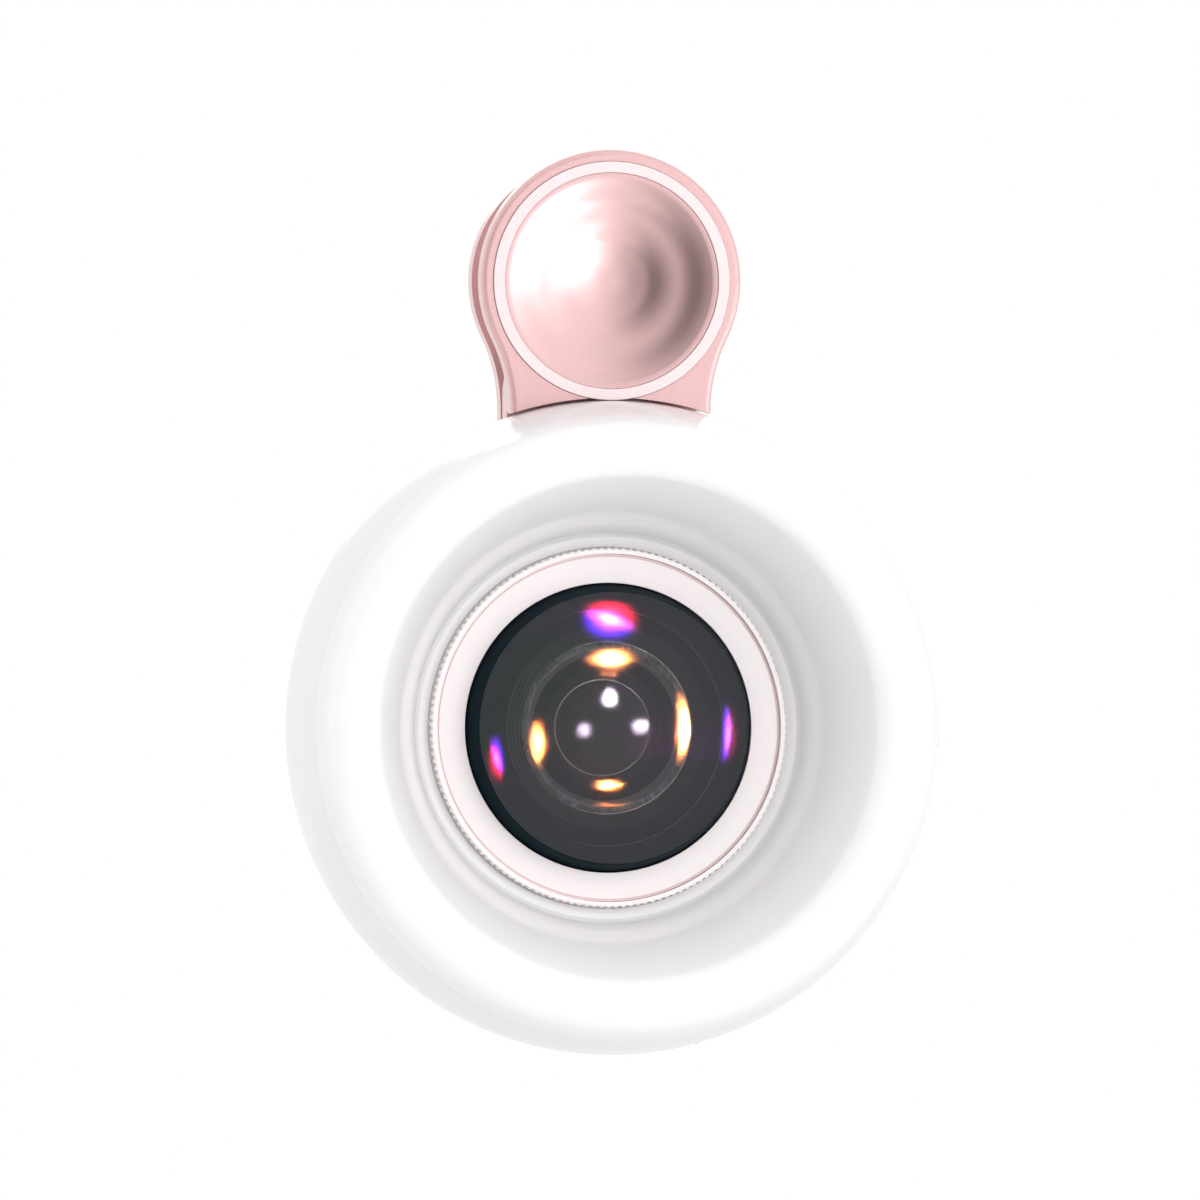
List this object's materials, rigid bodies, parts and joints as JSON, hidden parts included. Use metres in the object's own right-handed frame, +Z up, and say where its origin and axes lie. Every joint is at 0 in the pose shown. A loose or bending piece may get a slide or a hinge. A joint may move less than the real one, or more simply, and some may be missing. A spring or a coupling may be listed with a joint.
{
  "type": "clip-on phone ring light with wide lens",
  "caption": "Round white ring light with a deep dish, a domed wide-angle lens with knurled rim in its middle, and a sprung rose-gold clip with a thumb dish.",
  "frame": {"origin": "on the optical axis, in the plane of the front pad that lies against the phone", "axes": "+X to the right seen from the front, +Y from the light towards the phone, +Z up along the handle"},
  "size_m": [0.0684, 0.0353, 0.0941],
  "materials": {
    "opal_plastic": "glossy opal polycarbonate",
    "white_plastic": "glossy white moulding",
    "circuit_board": "white solder mask",
    "lamp": "yellow phosphor",
    "black_plastic": "black moulding",
    "bright_steel": "bright nickel plate",
    "battery_foil": "silver foil pouch",
    "foam_tape": "white foam",
    "clear_plastic": "clear acrylic",
    "rose_aluminium": "rose anodised, knurled",
    "pale_rose_aluminium": "pale rose, satin",
    "lens_glass": "coated optical glass",
    "black_aluminium": "black anodised",
    "rose_plastic": "rose-gold lacquer",
    "pale_rose_plastic": "pale rose moulding",
    "rose_metal": "satin rose-gold plate",
    "pad_rubber": "soft rose silicone"
  },
  "bodies": {
    "light_head": {"diffuser_ring": "opal_plastic", "ring_housing": "white_plastic", "led_board": "circuit_board", "leds": "lamp", "board_chips": "black_plastic", "board_screws": "bright_steel", "battery": "battery_foil", "battery_tape": "foam_tape", "usb_socket": "bright_steel", "usb_tongue": "black_plastic", "tact_switch": "black_plastic", "light_pipe": "clear_plastic", "macro_barrel": "black_aluminium", "macro_lens": "lens_glass", "macro_retainer": "black_aluminium", "front_arm": "rose_plastic", "arm_screws": "bright_steel", "dish_trim": "pale_rose_plastic", "thumb_dish": "rose_metal", "front_pad": "pad_rubber", "hinge_pin": "bright_steel", "torsion_spring": "bright_steel"},
    "rear_lever": {"rear_lever": "rose_plastic", "rear_pad": "pad_rubber"},
    "lens_cell": {"front_glass": "lens_glass", "rear_glass": "lens_glass"},
    "lens_ring": {"wide_lens_barrel": "rose_aluminium", "lens_bezel": "pale_rose_aluminium", "lens_baffle": "black_aluminium"},
    "power_button": {"power_button": "white_plastic", "switch_plunger": "black_plastic"}
  },
  "joints": [
    {"name": "clip_squeeze", "type": "hinge", "parent": "light_head", "child": "rear_lever", "pos_m": [0, 0.0022, 0.028], "axis": [1, 0, 0], "range_deg": [0, 18], "stiffness_Nm_per_rad": 0.05, "springref_deg": -8.59, "deforming": ["torsion_spring"]},
    {"name": "lens_lift", "type": "slide", "parent": "light_head", "child": "lens_cell", "axis": [0, -1, 0], "range_m": [0, 0.00225]},
    {"name": "lens_turn", "type": "hinge", "parent": "lens_cell", "child": "lens_ring", "pos_m": [0, 0, 0], "axis": [0, -1, 0], "range_deg": [0, 1080]},
    {"name": "button_press", "type": "slide", "parent": "light_head", "child": "power_button", "axis": [-1, 0, 0], "range_m": [0, 0.0004], "stiffness_N_per_m": 1500}
  ],
  "couplings": [
    {"joint": "lens_lift", "follows": "lens_turn", "m_per_rad": 0.00011936}
  ]
}
